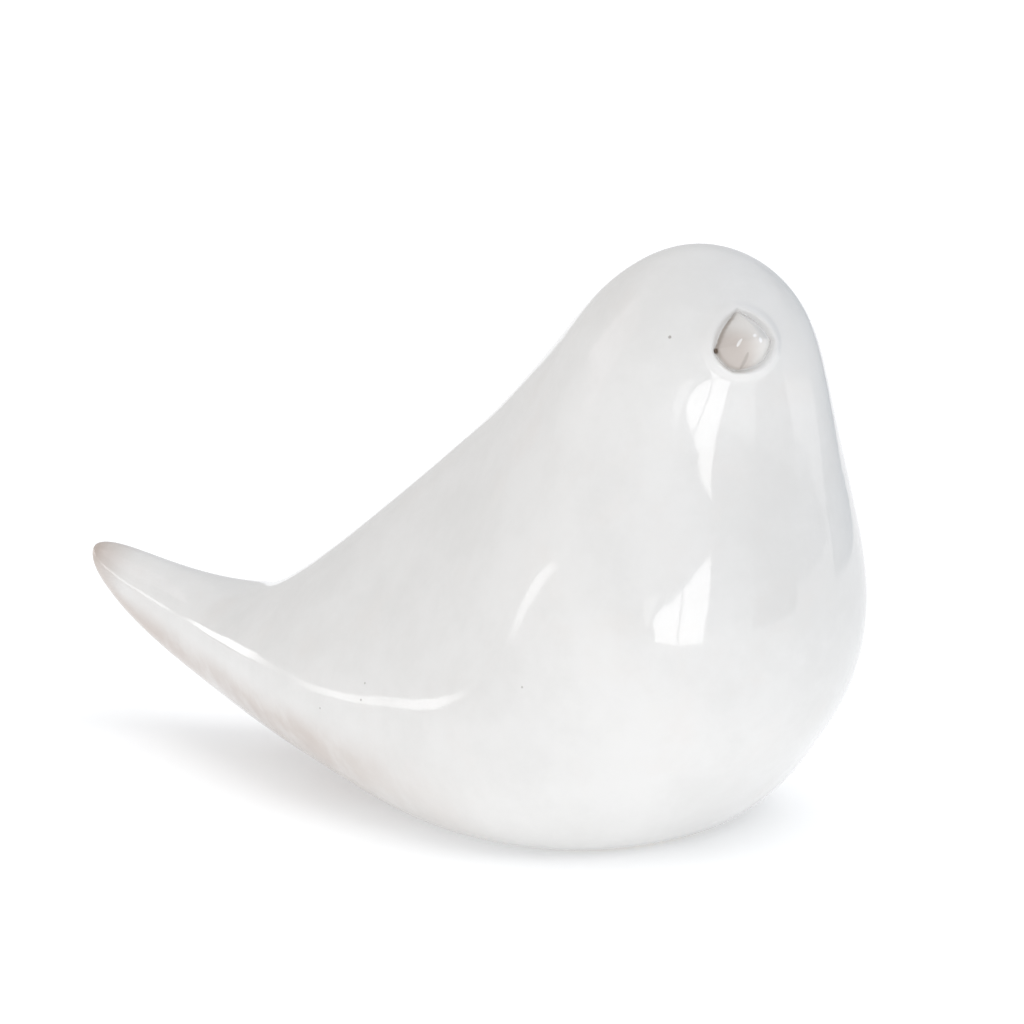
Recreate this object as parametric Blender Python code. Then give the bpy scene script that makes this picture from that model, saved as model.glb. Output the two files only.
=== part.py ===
"""Bird figurine in white glazed porcelain, one closed body standing on its flat foot.

Metres, +Z up. The tail points to +Y, the breast to -Y, and the head turns towards -X.
The origin is at the centre of the foot.
"""

import math
from collections import namedtuple

import bmesh
import bpy
import numpy as np

# Overall sizes of the body
BODY_LENGTH = 0.146
BODY_HEIGHT = 0.090
BODY_WIDTH = 0.070

# A section is a tilted oval. Its long axis runs from its back to its belly, each given as
# forward in shares of the body's length from the foot's centre and up in shares of its height.
# Its half width is in shares of half the body's width, and fuller widens its lower half.
Section = namedtuple("Section", "back belly half_width fuller")
TAIL_TIP = Section((-0.655, 0.31), (-0.655, 0.31), 0.0, 0.0)
TAIL_END = Section((-0.60, 0.335), (-0.57, 0.185), 0.13, 0.00)
TAIL_MIDDLE = Section((-0.475, 0.305), (-0.445, 0.09), 0.26, -0.10)
TAIL_ROOT = Section((-0.39, 0.315), (-0.295, 0.025), 0.51, -0.05)
RUMP = Section((-0.31, 0.38), (-0.125, -0.035), 0.74, 0.10)
FLANK = Section((-0.225, 0.485), (0.04, -0.065), 0.885, 0.30)
BELLY = Section((-0.13, 0.61), (0.18, -0.005), 0.925, 0.40)
LOWER_BREAST = Section((-0.04, 0.74), (0.275, 0.13), 0.825, 0.30)
BREAST = Section((0.05, 0.89), (0.335, 0.295), 0.71, 0.20)
THROAT = Section((0.12, 0.97), (0.33, 0.485), 0.555, 0.00)
FACE = Section((0.205, 0.99), (0.30, 0.69), 0.39, 0.00)
FACE_MIDDLE = Section((0.28, 0.86), (0.28, 0.86), 0.0, 0.0)
SECTIONS = (
    TAIL_TIP,
    TAIL_END,
    TAIL_MIDDLE,
    TAIL_ROOT,
    RUMP,
    FLANK,
    BELLY,
    LOWER_BREAST,
    BREAST,
    THROAT,
    FACE,
    FACE_MIDDLE,
)

# The head turns to the bird's right along the front part of the body
HEAD_TURN_DEG = 37.0
HEAD_TURN_START = 0.45

# Rounding where the sides of the body meet the flat foot
FOOT_EDGE_ROUNDING = 0.0010

# Beak, a blunt pinched pyramid with a round tip
BEAK_LENGTH = 0.0056
BEAK_FOOT_RADIUS = 0.0046
BEAK_YAW_DEG = 33.0
BEAK_PITCH_DEG = 15.0
BEAK_BLUNTNESS = 0.58
BEAK_TIP_CROWDING = 1.8
BEAK_TIP_ROUNDING = 0.5

# A corner of the beak's foot lies at an angle from the top towards the bird's right, and reaches
# out by a share of the foot radius. The side after it bulges by a share of its own distance.
BeakCorner = namedtuple("BeakCorner", "angle_deg reach bulge_after")
BEAK_TOP = BeakCorner(0.0, 1.00, 0.19)
BEAK_RIGHT = BeakCorner(105.0, 0.88, 0.11)
BEAK_BELOW = BeakCorner(157.5, 1.00, 0.58)
BEAK_LEFT = BeakCorner(270.0, 0.95, 0.20)
BEAK_CORNERS = (BEAK_TOP, BEAK_RIGHT, BEAK_BELOW, BEAK_LEFT)

# Soft raised ring of glaze around the beak, and the crease between ring and beak
COLLAR_RADIUS = 0.0064
COLLAR_HEIGHT = 0.0007
COLLAR_CREST = 0.68
CREASE_DEPTH = 0.0002

# Mesh density, and how the points crowd towards both ends and follow the foot's edge
BODY_RINGS = 74
SIDES = 48
COLLAR_RINGS = 7
BEAK_RINGS = 8
END_CROWDING = 0.45
FOOT_EDGE_SIDE = 21
FOOT_EDGE_LEAST = 0.8
SEARCH_STEPS = 400
SHARP_ANGLE_DEG = 50.0


def natural_spline(knots, values, at):
    """Reads a natural cubic spline through the values, one column for each quantity."""
    knots = np.asarray(knots)
    values = np.asarray(values)
    gaps = np.diff(knots)
    count = len(knots)
    system = np.eye(count)
    slopes = np.diff(values, axis=0) / gaps[:, None]
    right = np.zeros_like(values)
    for i in range(1, count - 1):
        system[i, i - 1] = gaps[i - 1]
        system[i, i] = 2.0 * (gaps[i - 1] + gaps[i])
        system[i, i + 1] = gaps[i]
        right[i] = 6.0 * (slopes[i] - slopes[i - 1])
    bends = np.linalg.solve(system, right)
    span = np.clip(np.searchsorted(knots, at, side="right") - 1, 0, count - 2)
    gap = gaps[span][:, None]
    before = (np.asarray(at) - knots[span])[:, None]
    after = gap - before
    low = bends[span]
    high = bends[span + 1]
    cubic = (low * after**3 + high * before**3) / (6.0 * gap)
    left_part = (values[span] / gap - low * gap / 6.0) * after
    right_part = (values[span + 1] / gap - high * gap / 6.0) * before
    return cubic + left_part + right_part


def smooth_step(value):
    """Rises from 0 to 1 with level ends."""
    t = np.clip(value, 0.0, 1.0)
    return t * t * (3.0 - 2.0 * t)


class Spine:
    """The line of section centres, with the tilt, turn and size of the oval at each place."""

    def __init__(self):
        body_size = (BODY_LENGTH, BODY_HEIGHT)
        back = np.array([section.back for section in SECTIONS]) * body_size
        belly = np.array([section.belly for section in SECTIONS]) * body_size
        half_width = np.array([section.half_width for section in SECTIONS]) * BODY_WIDTH / 2.0
        fuller = np.array([section.fuller for section in SECTIONS])
        middle = (back + belly) / 2.0
        half = (back - belly) / 2.0
        half_depth = np.hypot(half[:, 0], half[:, 1])
        tilt = np.arctan2(half[:, 0], half[:, 1])
        tilt[0] = tilt[1]
        tilt[-1] = tilt[-2] + (tilt[-2] - tilt[-3]) / 2.0
        steps = (self.chords(back) + self.chords(belly)) / 2.0
        self.places = np.concatenate([[0.0], np.cumsum(steps)])
        self.length = self.places[-1]
        along = (self.places / self.length - HEAD_TURN_START) / (1.0 - HEAD_TURN_START)
        turn = math.radians(HEAD_TURN_DEG) * smooth_step(along)
        aside = self.side_shift(middle[:, 0], turn)
        self.lines = np.column_stack([middle, tilt, fuller, turn, aside])
        self.squares = np.column_stack([half_depth**2, half_width**2])

    @staticmethod
    def chords(points):
        return np.hypot(*np.diff(points, axis=0).T)

    @staticmethod
    def side_shift(forward, turn):
        """Moves the centres sideways so that their line follows the turn of the head."""
        shift = np.zeros(len(turn))
        for i in range(1, len(turn)):
            step = max(forward[i] - forward[i - 1], 0.0)
            shift[i] = shift[i - 1] + step * math.tan((turn[i] + turn[i - 1]) / 2.0)
        return shift

    def rings(self, places):
        """Points of the ovals at these places, as rows of (X, Y, Z)."""
        lines = natural_spline(self.places, self.lines, places)
        squares = np.maximum(natural_spline(self.places, self.squares, places), 0.0)
        forward, up, tilt, fuller, turn, aside = (lines[:, k : k + 1] for k in range(6))
        half_depth = np.sqrt(squares[:, 0:1])
        half_width = np.sqrt(squares[:, 1:2])
        angle = self.side_angles(up, half_depth * np.cos(tilt))
        toward_back = half_depth * np.cos(angle)
        across = half_width * np.sin(angle) * (1.0 - fuller * np.cos(angle))
        lean = toward_back * np.sin(tilt)
        ahead = forward + lean * np.cos(turn) - across * np.sin(turn)
        side = aside + lean * np.sin(turn) + across * np.cos(turn)
        height = up + toward_back * np.cos(tilt)
        return np.stack([-side, -ahead, height], axis=-1)

    @staticmethod
    def side_angles(up, rise):
        """Angles round an oval, moved a little so that one side runs along the foot's edge."""
        even = np.linspace(0.0, 2.0 * math.pi, SIDES, endpoint=False)[None, :]
        edge = 2.0 * math.pi * FOOT_EDGE_SIDE / SIDES
        crossing = np.arccos(np.clip(-up / np.maximum(rise, 1e-9), -1.0, 1.0))
        target = np.clip(crossing, FOOT_EDGE_LEAST * edge, edge)
        half = np.minimum(even, 2.0 * math.pi - even)
        upper = half * target / edge
        lower = math.pi - (math.pi - half) * (math.pi - target) / (math.pi - edge)
        moved = np.where(half <= edge, upper, lower)
        return np.where(even <= math.pi, moved, 2.0 * math.pi - moved)

    def place_of_radius(self, radius):
        """The place near the face where the mean radius of the oval is this large."""
        trial = np.linspace(self.places[-2], self.length, SEARCH_STEPS)
        squares = np.maximum(natural_spline(self.places, self.squares, trial), 0.0)
        mean = np.sqrt(squares).mean(axis=1)
        return np.interp(radius, mean[::-1], trial[::-1])

    def face_ring(self, radii):
        """A ring on the face with its own radius for each side."""
        all_rings = self.rings(self.place_of_radius(radii))
        return all_rings[np.arange(SIDES), np.arange(SIDES)]


def beak_axis():
    """Unit vector from the middle of the face to the tip of the beak."""
    yaw = math.radians(BEAK_YAW_DEG)
    pitch = math.radians(BEAK_PITCH_DEG)
    level = math.cos(pitch)
    return np.array([-math.sin(yaw) * level, -math.cos(yaw) * level, math.sin(pitch)])


def beak_outline():
    """Reach of the beak's foot for each side, along bulging sides between the corners."""
    angle = np.linspace(0.0, 2.0 * math.pi, SIDES, endpoint=False)
    reach = np.zeros(SIDES)
    for corner, following in zip(BEAK_CORNERS, BEAK_CORNERS[1:] + BEAK_CORNERS[:1]):
        start = math.radians(corner.angle_deg)
        span = math.radians((following.angle_deg - corner.angle_deg) % 360.0)
        past = angle - start
        straight = corner.reach * following.reach * math.sin(span)
        straight = straight / (corner.reach * np.sin(past) + following.reach * np.sin(span - past))
        part = past / span
        bulged = straight * (1.0 + corner.bulge_after * 4.0 * part * (1.0 - part))
        reach = np.where((part >= 0.0) & (part < 1.0), bulged, reach)
    return reach


def body_rings(spine):
    """Rings from the end of the tail to the outside of the collar."""
    last = spine.place_of_radius(COLLAR_RADIUS)
    t = np.linspace(0.0, 1.0, BODY_RINGS + 1)[1:]
    even = (1.0 - END_CROWDING) * t
    crowded = END_CROWDING * (1.0 - np.cos(math.pi * t)) / 2.0
    return spine.rings(last * (even + crowded))


def collar_rings(spine, axis):
    """Rings across the collar, rising softly to its crest and dropping into the crease."""
    inner = BEAK_FOOT_RADIUS * beak_outline()
    found = []
    for k in range(1, COLLAR_RINGS + 1):
        part = k / COLLAR_RINGS
        ring = spine.face_ring(COLLAR_RADIUS + (inner - COLLAR_RADIUS) * part)
        rise = COLLAR_HEIGHT * smooth_step(part / COLLAR_CREST)
        drop = smooth_step((part - COLLAR_CREST) / (1.0 - COLLAR_CREST))
        lift = rise - (COLLAR_HEIGHT + CREASE_DEPTH) * drop
        found.append(ring + axis * lift)
    return found


def beak_rings(spine, foot, axis):
    """Rings of the beak, rounder towards its tip, and the tip."""
    face = spine.rings(np.array([spine.length]))[0, 0]
    tip = face + axis * BEAK_LENGTH
    level = ((foot - face) @ axis)[:, None] * axis
    spread = foot - face - level
    found = []
    for k in range(1, BEAK_RINGS):
        part = 1.0 - (1.0 - k / BEAK_RINGS) ** BEAK_TIP_CROWDING
        rounder = beak_outline() ** (-BEAK_TIP_ROUNDING * part)
        size = (1.0 - part) ** BEAK_BLUNTNESS
        height = level * (1.0 - part) + axis * BEAK_LENGTH * part
        found.append(face + height + spread * size * rounder[:, None])
    return found, tip


def rest_on_foot(points):
    """Flattens what lies below the floor and rounds the way up from it."""
    above = points[..., 2] + FOOT_EDGE_ROUNDING
    full = 2.0 * FOOT_EDGE_ROUNDING
    curve = np.clip(above, 0.0, full) ** 2 / (2.0 * full)
    points[..., 2] = curve + np.maximum(above - full, 0.0)
    return points


def glaze_material():
    material = bpy.data.materials.new("glaze")
    material.use_nodes = True
    surface = material.node_tree.nodes["Principled BSDF"]
    surface.inputs["Base Color"].default_value = (0.82, 0.81, 0.79, 1.0)
    surface.inputs["Roughness"].default_value = 0.10
    return material


def skin(rings, first, last):
    """Closes a stack of rings into one mesh, with a single point at each end."""
    mesh = bmesh.new()
    start = mesh.verts.new(first)
    rows = [[mesh.verts.new(point) for point in ring] for ring in rings]
    end = mesh.verts.new(last)
    for k in range(SIDES):
        after = (k + 1) % SIDES
        mesh.faces.new((start, rows[0][after], rows[0][k]))
        for low, high in zip(rows[:-1], rows[1:]):
            mesh.faces.new((low[k], low[after], high[after], high[k]))
        mesh.faces.new((rows[-1][k], rows[-1][after], end))
    bmesh.ops.recalc_face_normals(mesh, faces=mesh.faces)
    return mesh


def make_figurine():
    spine = Spine()
    axis = beak_axis()
    rings = [rest_on_foot(ring) for ring in body_rings(spine)]
    rings += collar_rings(spine, axis)
    beak, tip = beak_rings(spine, rings[-1], axis)
    rings += beak
    tail_tip = spine.rings(np.array([0.0]))[0, 0]
    mesh = skin(rings, tail_tip, tip)
    data = bpy.data.meshes.new("bird_figurine")
    mesh.to_mesh(data)
    mesh.free()
    figurine = bpy.data.objects.new("bird_figurine", data)
    bpy.context.scene.collection.objects.link(figurine)
    data.materials.append(glaze_material())
    data.shade_smooth()
    data.set_sharp_from_angle(angle=math.radians(SHARP_ANGLE_DEG))
    return figurine


for item in list(bpy.data.objects):
    bpy.data.objects.remove(item)
make_figurine()
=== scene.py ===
"""Bird figurine in white glazed porcelain, on a pale studio floor beside a window."""

import math

import bpy
from mathutils import Matrix, Vector


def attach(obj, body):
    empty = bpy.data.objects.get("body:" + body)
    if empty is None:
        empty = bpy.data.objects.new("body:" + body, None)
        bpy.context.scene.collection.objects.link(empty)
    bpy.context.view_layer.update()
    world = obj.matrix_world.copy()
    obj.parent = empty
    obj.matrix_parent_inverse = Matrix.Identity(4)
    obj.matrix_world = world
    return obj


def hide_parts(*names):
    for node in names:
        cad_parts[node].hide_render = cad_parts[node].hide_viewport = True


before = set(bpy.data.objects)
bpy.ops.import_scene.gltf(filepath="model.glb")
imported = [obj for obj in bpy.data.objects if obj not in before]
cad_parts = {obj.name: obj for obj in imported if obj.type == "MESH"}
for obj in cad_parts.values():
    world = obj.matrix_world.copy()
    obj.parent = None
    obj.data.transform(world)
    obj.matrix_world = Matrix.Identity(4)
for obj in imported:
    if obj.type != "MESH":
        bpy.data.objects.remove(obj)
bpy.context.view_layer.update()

# Lengths are in metres and angles in degrees. A fade is the two values that a change lies
# between, and then the two amounts that it goes from and to, where these aren't 0 and 1.
UP = (0.0, 0.0, 1.0)
DOWN = (0.0, 0.0, -1.0)
TAILWARD = (0.0, 1.0, 0.0)
WHITE = (1.0, 1.0, 1.0)

# Rounding of the bird: faces merged to four sides, then divided and smoothed
MERGE_DISTANCE = 1e-6
FOUR_SIDED_FACE_ANGLE = 30.0
FOUR_SIDED_SHAPE_ANGLE = 50.0
ROUNDING_LEVELS = 2

# Unevenness of a shape smoothed by hand: how deep, how wide each swell, and where it starts above the foot
WOBBLE_DEPTH = 0.0003
WOBBLE_WIDTH = 0.022
WOBBLE_START = 0.001
WOBBLE_RISE = 0.008

# Colours of the glaze and of the clay that shows through it, and colours of painted shade and painted
# highlights on the beak
GLAZE_DEEP = (0.782, 0.776, 0.763)
GLAZE_PALE = (0.828, 0.822, 0.811)
GLAZE_WARM = (0.80, 0.77, 0.745)
CLAY_PINK = (0.60, 0.535, 0.495)
CLAY_BROWN = (0.50, 0.42, 0.37)
BARE_CLAY = (0.74, 0.69, 0.62)
# Beak: brown clay under thin glaze, painted paler on its upper right and browner on its lower left as
# painted shade
BEAK_LIT_PALE = (0.76, 0.74, 0.715)
BEAK_SHADED_BROWN = (0.57, 0.52, 0.485)
BEAK_STREAK = (0.41, 0.37, 0.34)
# Painted highlights on the beak
BEAK_PAINTED_GLINT = (0.94, 0.94, 0.95)
# Painted shade in the crease round the beak's foot
CREASE_PAINTED_SHADE = (0.33, 0.28, 0.24)
PINHOLE_DARK = (0.16, 0.12, 0.09)

# Unevenness within the glaze, as scale, detail and roughness: wide clouds, cream patches, fine grain
CLOUD_NOISE = (55.0, 6.0, 0.68)
CREAM_NOISE = (90.0, 4.0, 0.6)
FINE_NOISE = (700.0, 2.0, 0.5)
CLOUD_FADE = (0.32, 0.66)
WARM_FADE = (0.5, 0.75, 0.0, 0.35)

# Gloss and relief of the glaze: relief counts the cream patches as 1
GLAZE_IOR = 1.5
GLOSS_FADE = (0.3, 0.7, 0.045, 0.075)
RELIEF_HEIGHT = 0.00004
FINE_RELIEF = 0.06
PINHOLE_RELIEF = 3.0

# Clay through thin glaze: where the surface faces down, from the belly back, in patches, and at the tip
UNDERSIDE_FADE = (-0.05, 0.42)
TAILWARD_FADE = (-0.015, 0.04)
CLAY_PATCH_FADE = (0.3, 0.6, 0.45, 0.95)
TAIL_TIP = (0.0, 0.0956, 0.0279)
TIP_PINK_FADE = (0.0145, 0.007, 0.0, 0.8)
TIP_BROWN_FADE = (0.0078, 0.0045, 0.0, 0.8)
TIP_RAGGEDNESS = 0.004

# Bare clay of the foot, up to this height, and how much rougher than glaze it is
FOOT_FADE = (0.0004, 0.0002)
FOOT_ROUGHENING = 0.6

# Foot of the beak: its middle, its own directions, and its corners. A corner has its angle from
# the top, its reach, where 1 is half the width or height, and the bulge of the side after it.
BEAK_HALF_WIDTH = 0.00475
BEAK_HALF_HEIGHT = 0.00445
BEAK_MIDDLE = (-0.01313, -0.04018, 0.07732)
BEAK_AHEAD = Vector((-0.526, -0.810, 0.259))
BEAK_SIDEWAYS = Vector((-0.8006, 0.5996, 0.0)) * BEAK_HALF_WIDTH
BEAK_UPWARD = Vector((0.240, 0.320, 0.917)) * BEAK_HALF_HEIGHT
BEAK_CORNERS = ((0.0, 1.00, 0.19), (105.0, 0.88, 0.11), (157.5, 1.00, 0.58), (270.0, 0.95, 0.20))
BEAK_OUTLINE_STOPS = 24

# Glaze round the beak. The ring is 1 along the outline of the beak's foot, and grows outwards.
BEAK_FRONT_FADE = (-0.003, -0.002)
COLLAR_RING_FADE = (1.7, 1.3, 0.0, 0.7)
BEAK_RING_FADE = (1.02, 0.94)
# Painted shade across the beak, from pale on the upper right to brown on the lower left
BEAK_PAINTED_SHADE_FADE = (0.1, 0.9)
BEAK_PAINTED_SHADE_SLANT = 0.6
BEAK_PAINTED_SHADE_RAGGEDNESS = 0.5
# Painted shade in the crease between the beak and its collar, on the upper left side only
CREASE_INNER_FADE = (0.90, 0.98)
CREASE_OUTER_FADE = (1.06, 1.0)
CREASE_ASIDE_FADE = (-0.1, 0.3, 0.15, 0.8)
CREASE_UP_FADE = (-0.6, -0.2, 0.3, 1.0)

# Marks on the beak, a dark streak and three pale painted highlights: colour, breadth, share of the colour,
# and the places where it starts and ends
BEAK_STREAK_AND_GLINTS = (
    (BEAK_STREAK, 0.0009, 0.75, (-0.0168, -0.0440, 0.0768), (-0.0151, -0.0416, 0.0739)),
    (BEAK_PAINTED_GLINT, 0.0007, 0.7, (-0.0172, -0.0432, 0.0786), (-0.0174, -0.0425, 0.0775)),
    (BEAK_PAINTED_GLINT, 0.0008, 1.0, (-0.0167, -0.0450, 0.0793), (-0.0167, -0.0450, 0.0791)),
    (BEAK_PAINTED_GLINT, 0.0008, 1.0, (-0.0163, -0.0455, 0.0788), (-0.0159, -0.0457, 0.0782)),
)

# Pinholes: place, radius, and share of the dark colour. The floor of each is this share of its radius.
PINHOLE_FLOOR = 0.45
PINHOLES = (
    ((-0.0198, -0.0327, 0.0783), 0.00030, 0.55),
    ((-0.0169, -0.0386, 0.0764), 0.00050, 0.95),
    ((-0.0293, 0.0157, 0.0230), 0.00022, 0.45),
    ((-0.0299, 0.0160, 0.0205), 0.00022, 0.45),
    ((-0.0278, 0.0256, 0.0174), 0.00022, 0.40),
    ((-0.0338, -0.0166, 0.0278), 0.00022, 0.40),
)

# Where the camera stands, and how it looks at the bird. Its lens and sensor are in millimetres.
CAMERA_PLACE = (-0.48804, -0.34505, 0.16602)
CAMERA_AZIMUTH = 54.00
CAMERA_HEIGHT_ANGLE = 11.35
CAMERA_ROLL = -0.36
CAMERA_LENS = 140.97
CAMERA_SENSOR = 36.0
CAMERA_NEAREST = 0.01
CAMERA_FARTHEST = 60.0

# Pale floor, which also glows a little
FLOOR_SIZE = 16.0
FLOOR_DARK = (0.61, 0.61, 0.61)
FLOOR_PALE = (0.63, 0.63, 0.63)
FLOOR_GRAIN_NOISE = (60.0, 3.0, 0.5)
FLOOR_ROUGHNESS = 0.9
FLOOR_GLOSS = 0.1
FLOOR_GLOW = 0.38
FLOOR_GLOW_COLOUR = (0.98, 0.995, 1.01)

# Soft light above the floor, which makes the shadow: its side and height seen from the bird
FLOOR_LIGHT_SIDE = 45.0
FLOOR_LIGHT_HEIGHT_ANGLE = 58.0
FLOOR_LIGHT_SOFTNESS = 50.0
FLOOR_LIGHT_STRENGTH = 1.25

# Light of the room, and by how much each side dims it. Fades run over the part of a heading that
# goes to the right, up or towards the camera, from -1 to 1.
ROOM_WARM = (1.0, 0.99, 0.985)
ROOM_COOL = (0.90, 0.94, 1.0)
ROOM_COOL_FADE = (-0.2, 0.5)
ROOM_TOP_FADE = (0.5, 0.95, 0.875, 1.065)
ROOM_LOW_FADE = (0.75, 0.35)
ROOM_ABOVE_FLOOR_FADE = (0.04, 0.16)
ROOM_LEFT_FADE = (-0.1, -0.7, 0.0, 0.09)
ROOM_RIGHT_FADE = (0.2, 0.8, 0.0, 0.43)
ROOM_BACK_FADE = (0.1, -0.7, 0.0, 0.19)
ROOM_FRONT_FADE = (0.0, 0.8, 0.0, 0.105)

# Window that the breast mirrors. Like the strip and the cards, it stands on a wall that faces the
# bird, at an angle to the right of the camera, and its corners are given along the wall, the way
# that angle grows, and up from the floor. Each pane has its name, strength and corners.
WINDOW_FACING = 15.0
WINDOW_DISTANCE = 0.5
WINDOW_PANES = (
    ("window_right", 4.6, ((-0.006, 0.003), (0.078, 0.003), (0.098, 0.154), (-0.006, 0.124))),
    (
        "window_middle",
        4.6,
        ((-0.122, 0.010), (-0.014, 0.003), (-0.014, 0.122), (-0.090, 0.112), (-0.125, 0.085)),
    ),
    ("window_left", 2.0, ((-0.165, 0.070), (-0.145, 0.075), (-0.100, 0.141), (-0.175, 0.148))),
)

# Long low strip that the flank and the tail mirror, with its brightness at places along the wall
STRIP_FACING = -100.0
STRIP_DISTANCE = 1.0
STRIP_STRENGTH = 3.6
STRIP_CORNERS = (
    (-0.75, 0.06),
    (-0.10, 0.01),
    (0.10, 0.045),
    (0.275, 0.12),
    (0.34, 0.14),
    (0.43, 0.16),
    (0.60, 0.165),
    (0.60, 0.21),
    (0.43, 0.20),
    (0.275, 0.165),
    (0.10, 0.11),
    (-0.10, 0.07),
    (-0.75, 0.20),
)
STRIP_BRIGHTNESS = (
    (-0.70, 0.9),
    (-0.45, 1.0),
    (-0.36, 0.7),
    (-0.24, 0.35),
    (-0.14, 0.35),
    (-0.03, 0.9),
    (0.12, 1.0),
    (0.24, 0.8),
    (0.30, 0.58),
    (0.36, 0.38),
    (0.43, 0.16),
    (0.52, 0.13),
    (0.60, 0.06),
)

# Cards that only the gloss mirrors: the dim end of the room on the right, the far corner behind
# the bird, and a pale wall on the left. Each has its name, colour, facing, strength and corners.
CARD_BLUE = (0.80, 0.90, 1.0)
CARD_PINK = (1.0, 0.94, 0.95)
CARD_DISTANCE = 0.5
CARDS = (
    ("card_right", CARD_BLUE, 60.0, 0.05, ((-0.13, 0.0), (0.095, 0.0), (0.095, 0.40), (-0.13, 0.40))),
    ("card_far", CARD_BLUE, 125.0, 0.5, ((-0.20, 0.0), (0.24, 0.0), (0.24, 0.40), (-0.20, 0.40))),
    ("card_left", CARD_PINK, -100.0, 1.3, ((-0.15, 0.25), (0.16, 0.24), (0.20, 0.60), (-0.15, 0.60))),
)


def deselect_all():
    for item in bpy.context.selected_objects:
        item.select_set(False)


def direction(side, height):
    """Unit vector away from the bird, at these angles to the right of the camera and up."""
    azimuth = math.radians(CAMERA_AZIMUTH - side)
    raised = math.radians(height)
    level = math.cos(raised)
    return Vector((-math.sin(azimuth) * level, -math.cos(azimuth) * level, math.sin(raised)))


# Materials


class Nodes:
    """Adds nodes to a material or a world, and joins them."""

    def __init__(self, tree):
        self.tree = tree

    def fill(self, node, inputs):
        """Gives each input its value, or a link to the output that it is given."""
        for key, value in dict(inputs).items():
            socket = node.inputs[key]
            if isinstance(value, bpy.types.NodeSocket):
                self.tree.links.new(value, socket)
            elif socket.type == "RGBA":
                socket.default_value = (*value, 1.0)
            else:
                socket.default_value = value

    def add(self, kind, inputs=(), **settings):
        node = self.tree.nodes.new(kind)
        for name, setting in settings.items():
            setattr(node, name, setting)
        self.fill(node, inputs)
        return node

    def math(self, operation, *values):
        return self.add("ShaderNodeMath", enumerate(values), operation=operation).outputs[0]

    def product(self, first, *others):
        for value in others:
            first = self.math("MULTIPLY", first, value)
        return first

    def vectors(self, operation, *values):
        return self.add("ShaderNodeVectorMath", enumerate(values), operation=operation)

    def distance(self, place, point):
        return self.vectors("DISTANCE", place, point).outputs["Value"]

    def along(self, place, axis):
        return self.vectors("DOT_PRODUCT", place, axis).outputs["Value"]

    def noise(self, place, scale, detail, roughness):
        inputs = {"Vector": place, "Scale": scale, "Detail": detail, "Roughness": roughness}
        return self.add("ShaderNodeTexNoise", inputs).outputs["Fac"]

    def fade(self, value, start, end, low=0.0, high=1.0):
        """Goes smoothly from low at start to high at end."""
        inputs = {"Value": value, "From Min": start, "From Max": end, "To Min": low, "To Max": high}
        return self.add("ShaderNodeMapRange", inputs, interpolation_type="SMOOTHSTEP").outputs["Result"]

    def spindle(self, place, start, end, breadth, share):
        """A mark that runs from start to end, widest in the middle, with its share of colour there."""
        length = (Vector(end) - Vector(start)).length
        both = self.math("ADD", self.distance(place, start), self.distance(place, end))
        return self.fade(both, math.hypot(length, breadth), length, 0.0, share)

    def stops(self, share, values):
        """Greys between pairs of a place, from 0 to 1, and a value."""
        node = self.add("ShaderNodeValToRGB", {"Fac": share})
        elements = node.color_ramp.elements
        elements.remove(elements[1])
        for number, (place, value) in enumerate(values):
            stop = elements[0] if number == 0 else elements.new(place)
            stop.position = place
            stop.color = (value, value, value, 1.0)
        return node.outputs["Color"]

    def blend(self, share, under, over):
        inputs = {"Factor": share, "A": under, "B": over}
        return self.add("ShaderNodeMix", inputs, data_type="RGBA").outputs["Result"]


def new_material(name):
    material = bpy.data.materials.new(name)
    material.use_nodes = True
    return material, Nodes(material.node_tree), material.node_tree.nodes["Principled BSDF"]


def mottled_white(nodes, place, cream):
    """White glaze, mottled very softly."""
    cloud = nodes.noise(place, *CLOUD_NOISE)
    colour = nodes.blend(nodes.fade(cloud, *CLOUD_FADE), GLAZE_DEEP, GLAZE_PALE)
    return nodes.blend(nodes.fade(cream, *WARM_FADE), colour, GLAZE_WARM)


def clay_on_tail(nodes, place, cream, colour):
    """Thin glaze lets the clay through under the tail, and on its tip."""
    normal = nodes.add("ShaderNodeNewGeometry").outputs["Normal"]
    under = nodes.fade(nodes.along(normal, DOWN), *UNDERSIDE_FADE)
    behind = nodes.fade(nodes.along(place, TAILWARD), *TAILWARD_FADE)
    patches = nodes.fade(cream, *CLAY_PATCH_FADE)
    colour = nodes.blend(nodes.product(under, behind, patches), colour, CLAY_PINK)
    reach = nodes.math("ADD", nodes.distance(place, TAIL_TIP), nodes.product(cream, TIP_RAGGEDNESS))
    colour = nodes.blend(nodes.fade(reach, *TIP_PINK_FADE), colour, CLAY_PINK)
    return nodes.blend(nodes.fade(reach, *TIP_BROWN_FADE), colour, CLAY_BROWN)


def beak_reach(angle):
    """Reach of the beak's foot at an angle from its top, along bulging sides between its corners."""
    following = BEAK_CORNERS[1:] + BEAK_CORNERS[:1]
    for (start, reach, bulge), (end, next_reach, _) in zip(BEAK_CORNERS, following):
        span = (end - start) % 360.0
        past = angle - start
        if 0.0 <= past < span:
            near = reach * math.sin(math.radians(past))
            far = next_reach * math.sin(math.radians(span - past))
            straight = reach * next_reach * math.sin(math.radians(span)) / (near + far)
            share = past / span
            return straight * (1.0 + bulge * 4.0 * share * (1.0 - share))
    return BEAK_CORNERS[0][1]


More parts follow.
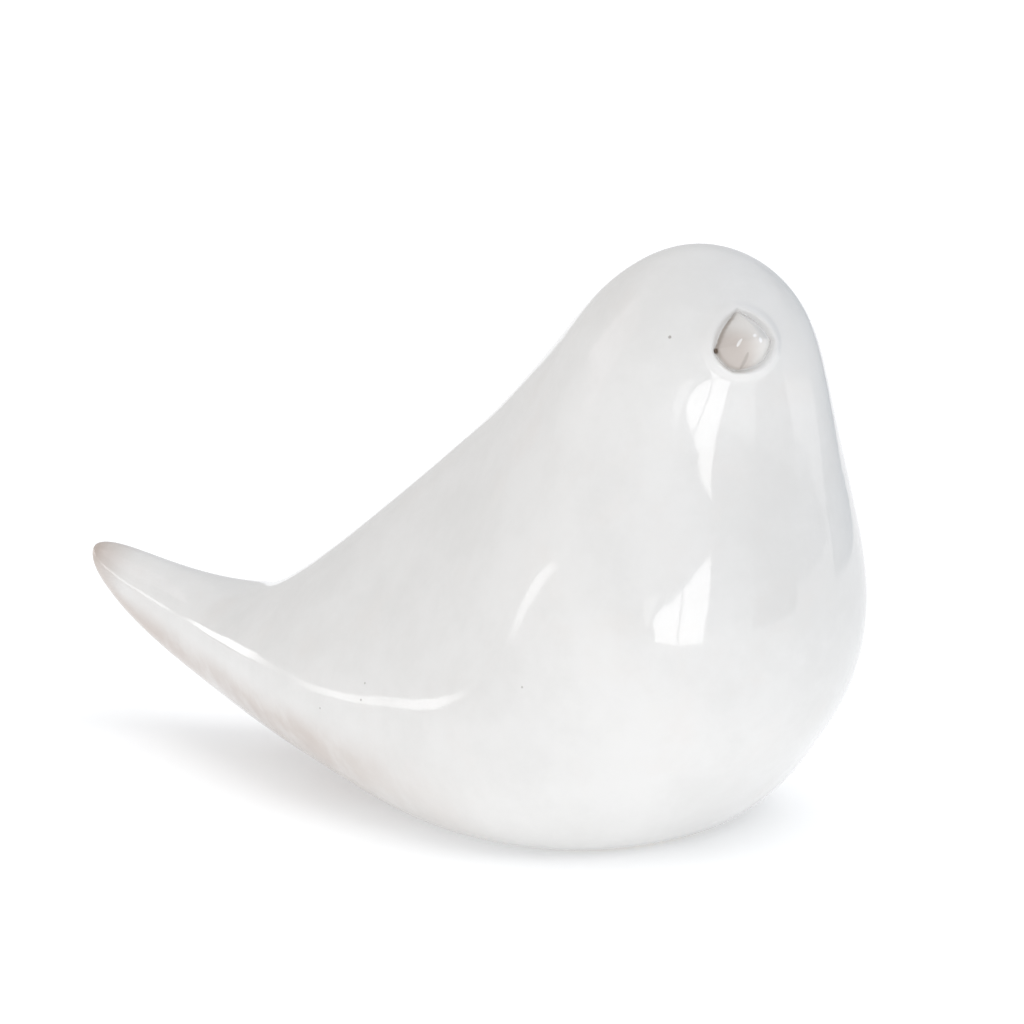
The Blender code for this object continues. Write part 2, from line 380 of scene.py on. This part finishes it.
def beak_coordinates(nodes, place):
    """The ring round the beak, and how far ahead, aside and up from the middle of its foot."""
    axes = Matrix((BEAK_SIDEWAYS, BEAK_UPWARD, BEAK_AHEAD)).transposed().inverted()
    offset = nodes.vectors("SUBTRACT", place, BEAK_MIDDLE).outputs["Vector"]
    aside, up, ahead = (nodes.along(offset, axis) for axis in axes)
    turn = nodes.math("FRACT", nodes.math("DIVIDE", nodes.math("ARCTAN2", aside, up), math.tau))
    shares = [number / BEAK_OUTLINE_STOPS for number in range(BEAK_OUTLINE_STOPS + 1)]
    outline = nodes.stops(turn, [(share, beak_reach(360.0 * share)) for share in shares])
    far = nodes.math("SQRT", nodes.math("ADD", nodes.product(aside, aside), nodes.product(up, up)))
    return nodes.math("DIVIDE", far, outline), ahead, aside, up


def beak_glaze(nodes, place, cream, colour):
    """A beak of thin glaze in a thick white collar, with painted shade in the crease between them, painted
    shade across the beak, and painted highlights on it.
    """
    ring, ahead, aside, up = beak_coordinates(nodes, place)
    front = nodes.fade(ahead, *BEAK_FRONT_FADE)
    collar = nodes.product(nodes.fade(ring, *COLLAR_RING_FADE), front)
    colour = nodes.blend(collar, colour, GLAZE_PALE)
    # Painted shade: the beak's brown clay colour goes paler towards its upper right and browner towards
    # its lower left
    slant = nodes.math("SUBTRACT", aside, nodes.product(up, BEAK_PAINTED_SHADE_SLANT))
    slant = nodes.math("ADD", slant, nodes.product(cream, BEAK_PAINTED_SHADE_RAGGEDNESS))
    beak_painted_shade = nodes.blend(nodes.fade(slant, *BEAK_PAINTED_SHADE_FADE), BEAK_LIT_PALE, BEAK_SHADED_BROWN)
    colour = nodes.blend(nodes.product(nodes.fade(ring, *BEAK_RING_FADE), front), colour, beak_painted_shade)
    # A dark streak, then pale painted highlights near the beak's tip
    for mark, breadth, share, start, end in BEAK_STREAK_AND_GLINTS:
        colour = nodes.blend(nodes.spindle(place, start, end, breadth, share), colour, mark)
    # Painted shade: a dark line in the crease round the beak's foot, on its upper left side
    painted_crease_shade = nodes.product(
        nodes.fade(ring, *CREASE_INNER_FADE),
        nodes.fade(ring, *CREASE_OUTER_FADE),
        nodes.fade(aside, *CREASE_ASIDE_FADE),
        nodes.fade(up, *CREASE_UP_FADE),
        front,
    )
    return nodes.blend(painted_crease_shade, colour, CREASE_PAINTED_SHADE)


def glaze():
    material, nodes, shader = new_material("white_glaze")
    place = nodes.add("ShaderNodeTexCoord").outputs["Object"]
    cream = nodes.noise(place, *CREAM_NOISE)
    fine = nodes.noise(place, *FINE_NOISE)
    colour = mottled_white(nodes, place, cream)
    colour = clay_on_tail(nodes, place, cream, colour)
    colour = beak_glaze(nodes, place, cream, colour)
    relief = nodes.math("ADD", cream, nodes.product(fine, FINE_RELIEF))
    for point, radius, share in PINHOLES:
        pit = nodes.fade(nodes.distance(place, point), radius, radius * PINHOLE_FLOOR, 0.0, share)
        colour = nodes.blend(pit, colour, PINHOLE_DARK)
        relief = nodes.math("SUBTRACT", relief, nodes.product(pit, PINHOLE_RELIEF))
    foot = nodes.fade(nodes.along(place, UP), *FOOT_FADE)
    colour = nodes.blend(foot, colour, BARE_CLAY)
    rough = nodes.math("ADD", nodes.fade(fine, *GLOSS_FADE), nodes.product(foot, FOOT_ROUGHENING))
    bump = nodes.add("ShaderNodeBump", {"Strength": 1.0, "Distance": RELIEF_HEIGHT, "Height": relief})
    inputs = {"Base Color": colour, "Roughness": rough, "Normal": bump.outputs[0], "IOR": GLAZE_IOR}
    nodes.fill(shader, inputs)
    return material


def pale_floor():
    material, nodes, shader = new_material("pale_floor")
    place = nodes.add("ShaderNodeTexCoord").outputs["Object"]
    grain = nodes.noise(place, *FLOOR_GRAIN_NOISE)
    inputs = {
        "Base Color": nodes.blend(grain, FLOOR_DARK, FLOOR_PALE),
        "Roughness": FLOOR_ROUGHNESS,
        "Specular IOR Level": FLOOR_GLOSS,
        "Emission Color": FLOOR_GLOW_COLOUR,
        "Emission Strength": FLOOR_GLOW,
    }
    nodes.fill(shader, inputs)
    return material


def glow(name, strength, colour, axis, brightness):
    """Light given off evenly, or with its own brightness at places along the wall."""
    material, nodes, shader = new_material(name)
    nodes.tree.nodes.remove(shader)
    if brightness:
        place = nodes.along(nodes.add("ShaderNodeTexCoord").outputs["Object"], axis)
        first, last = brightness[0][0], brightness[-1][0]
        inputs = {"Value": place, "From Min": first, "From Max": last}
        share = nodes.add("ShaderNodeMapRange", inputs).outputs["Result"]
        length = last - first
        colour = nodes.stops(share, [((right - first) / length, level) for right, level in brightness])
    emission = nodes.add("ShaderNodeEmission", {"Strength": strength, "Color": colour})
    nodes.fill(nodes.tree.nodes["Material Output"], {"Surface": emission.outputs[0]})
    return material


# Bird


def wobble_by_hand(bird):
    """The soft unevenness of a shape smoothed by hand, none of it on the flat foot."""
    above = bird.vertex_groups.new(name="above_foot")
    for vertex in bird.data.vertices:
        share = (vertex.co.z - WOBBLE_START) / WOBBLE_RISE
        above.add([vertex.index], min(max(share, 0.0), 1.0), "REPLACE")
    texture = bpy.data.textures.new("hand_wobble", "CLOUDS")
    texture.noise_scale = WOBBLE_WIDTH
    texture.noise_depth = 1
    wobble = bird.modifiers.new("wobble", "DISPLACE")
    wobble.texture = texture
    wobble.texture_coords = "LOCAL"
    wobble.strength = WOBBLE_DEPTH
    wobble.mid_level = 0.5
    wobble.vertex_group = above.name
    bpy.ops.object.modifier_apply(modifier=wobble.name)
    bird.vertex_groups.clear()


def glazed_bird():
    """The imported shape, merged, made of four-sided faces and rounded."""
    deselect_all()
    bird = bpy.data.objects.new("glazed_bird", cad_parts["bird_figurine"].data.copy())
    bpy.context.scene.collection.objects.link(bird)
    bpy.context.view_layer.objects.active = bird
    bird.select_set(True)
    if bird.data.has_custom_normals:
        bpy.ops.mesh.customdata_custom_splitnormals_clear()
    bpy.ops.object.mode_set(mode="EDIT")
    bpy.ops.mesh.select_all(action="SELECT")
    bpy.ops.mesh.remove_doubles(threshold=MERGE_DISTANCE)
    bpy.ops.mesh.mark_sharp(clear=True)
    bpy.ops.mesh.tris_convert_to_quads(
        face_threshold=math.radians(FOUR_SIDED_FACE_ANGLE),
        shape_threshold=math.radians(FOUR_SIDED_SHAPE_ANGLE),
    )
    bpy.ops.object.mode_set(mode="OBJECT")
    smooth = bird.modifiers.new("rounding", "SUBSURF")
    smooth.levels = ROUNDING_LEVELS
    smooth.render_levels = ROUNDING_LEVELS
    bpy.ops.object.modifier_apply(modifier=smooth.name)
    wobble_by_hand(bird)
    bpy.ops.object.shade_smooth()
    bird.data.materials.clear()
    bird.data.materials.append(glaze())
    return bird


# Studio


def studio_floor():
    deselect_all()
    bpy.ops.mesh.primitive_plane_add(size=FLOOR_SIZE)
    floor = bpy.context.active_object
    floor.name = "studio_floor"
    floor.data.materials.append(pale_floor())
    return floor


def studio_camera():
    data = bpy.data.cameras.new("studio_camera")
    data.lens = CAMERA_LENS
    data.sensor_width = CAMERA_SENSOR
    data.clip_start = CAMERA_NEAREST
    data.clip_end = CAMERA_FARTHEST
    camera = bpy.data.objects.new("studio_camera", data)
    bpy.context.scene.collection.objects.link(camera)
    camera.location = CAMERA_PLACE
    turn = Matrix.Rotation(math.radians(-CAMERA_AZIMUTH), 3, "Z")
    tilt = Matrix.Rotation(math.radians(90.0 - CAMERA_HEIGHT_ANGLE), 3, "X")
    roll = Matrix.Rotation(math.radians(CAMERA_ROLL), 3, "Z")
    camera.rotation_euler = (turn @ tilt @ roll).to_euler()
    bpy.context.scene.camera = camera


def room_light():
    """Soft light from all round, warm on the left and cool on the right, brightest from above."""
    world = bpy.data.worlds.new("studio_room")
    bpy.context.scene.world = world
    world.use_nodes = True
    nodes = Nodes(world.node_tree)
    heading = nodes.add("ShaderNodeTexCoord").outputs["Generated"]
    rightward = nodes.along(heading, direction(90.0, 0.0))
    forward = nodes.along(heading, direction(0.0, 0.0))
    upward = nodes.along(heading, UP)
    low = nodes.fade(upward, *ROOM_LOW_FADE)
    above_floor = nodes.fade(upward, *ROOM_ABOVE_FLOOR_FADE)
    strength = nodes.fade(upward, *ROOM_TOP_FADE)
    for dimming in (
        nodes.product(nodes.fade(rightward, *ROOM_LEFT_FADE), above_floor),
        nodes.product(nodes.fade(rightward, *ROOM_RIGHT_FADE), low),
        nodes.product(nodes.fade(forward, *ROOM_BACK_FADE), low),
        nodes.fade(forward, *ROOM_FRONT_FADE),
    ):
        strength = nodes.math("SUBTRACT", strength, dimming)
    colour = nodes.blend(nodes.fade(rightward, *ROOM_COOL_FADE), ROOM_WARM, ROOM_COOL)
    background = nodes.tree.nodes["Background"]
    nodes.fill(background, {"Color": colour, "Strength": strength})
    backdrop = nodes.add("ShaderNodeBackground", {"Color": WHITE})
    sight = nodes.add("ShaderNodeLightPath").outputs["Is Camera Ray"]
    seen = nodes.add("ShaderNodeMixShader", {0: sight, 1: background.outputs[0], 2: backdrop.outputs[0]})
    nodes.fill(nodes.tree.nodes["World Output"], {"Surface": seen.outputs[0]})


def glowing_pane(name, facing, distance, corners, strength, colour=WHITE, brightness=None):
    """A flat lit shape on a wall that faces the bird from this side at this distance."""
    along = direction(facing + 90.0, 0.0)
    wall = direction(facing, 0.0) * distance
    points = [wall + along * right + Vector((0.0, 0.0, up)) for right, up in corners]
    mesh = bpy.data.meshes.new(name)
    mesh.from_pydata(points, [], [range(len(points))])
    pane = bpy.data.objects.new(name, mesh)
    bpy.context.scene.collection.objects.link(pane)
    pane.visible_camera = False
    pane.visible_shadow = False
    mesh.materials.append(glow(name, strength, colour, along, brightness))
    return pane


def studio_lights():
    for name, strength, corners in WINDOW_PANES:
        glowing_pane(name, WINDOW_FACING, WINDOW_DISTANCE, corners, strength)
    glowing_pane(
        "strip",
        STRIP_FACING,
        STRIP_DISTANCE,
        STRIP_CORNERS,
        STRIP_STRENGTH,
        brightness=STRIP_BRIGHTNESS,
    )
    for name, colour, facing, strength, corners in CARDS:
        card = glowing_pane(name, facing, CARD_DISTANCE, corners, strength, colour)
        card.visible_diffuse = False


def floor_light(floor):
    """The soft light from above that falls on the floor alone, past the bird."""
    data = bpy.data.lights.new("floor_light", "SUN")
    data.angle = math.radians(FLOOR_LIGHT_SOFTNESS)
    data.energy = FLOOR_LIGHT_STRENGTH
    light = bpy.data.objects.new("floor_light", data)
    bpy.context.scene.collection.objects.link(light)
    toward = direction(FLOOR_LIGHT_SIDE, FLOOR_LIGHT_HEIGHT_ANGLE)
    light.location = toward
    light.rotation_euler = toward.to_track_quat("Z", "Y").to_euler()
    lit = bpy.data.collections.new("lit_floor")
    lit.objects.link(floor)
    light.light_linking.receiver_collection = lit


bird = glazed_bird()
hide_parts("bird_figurine")
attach(bird, "root")
floor = studio_floor()
studio_camera()
room_light()
studio_lights()
floor_light(floor)
bpy.context.scene.view_settings.view_transform = "Standard"
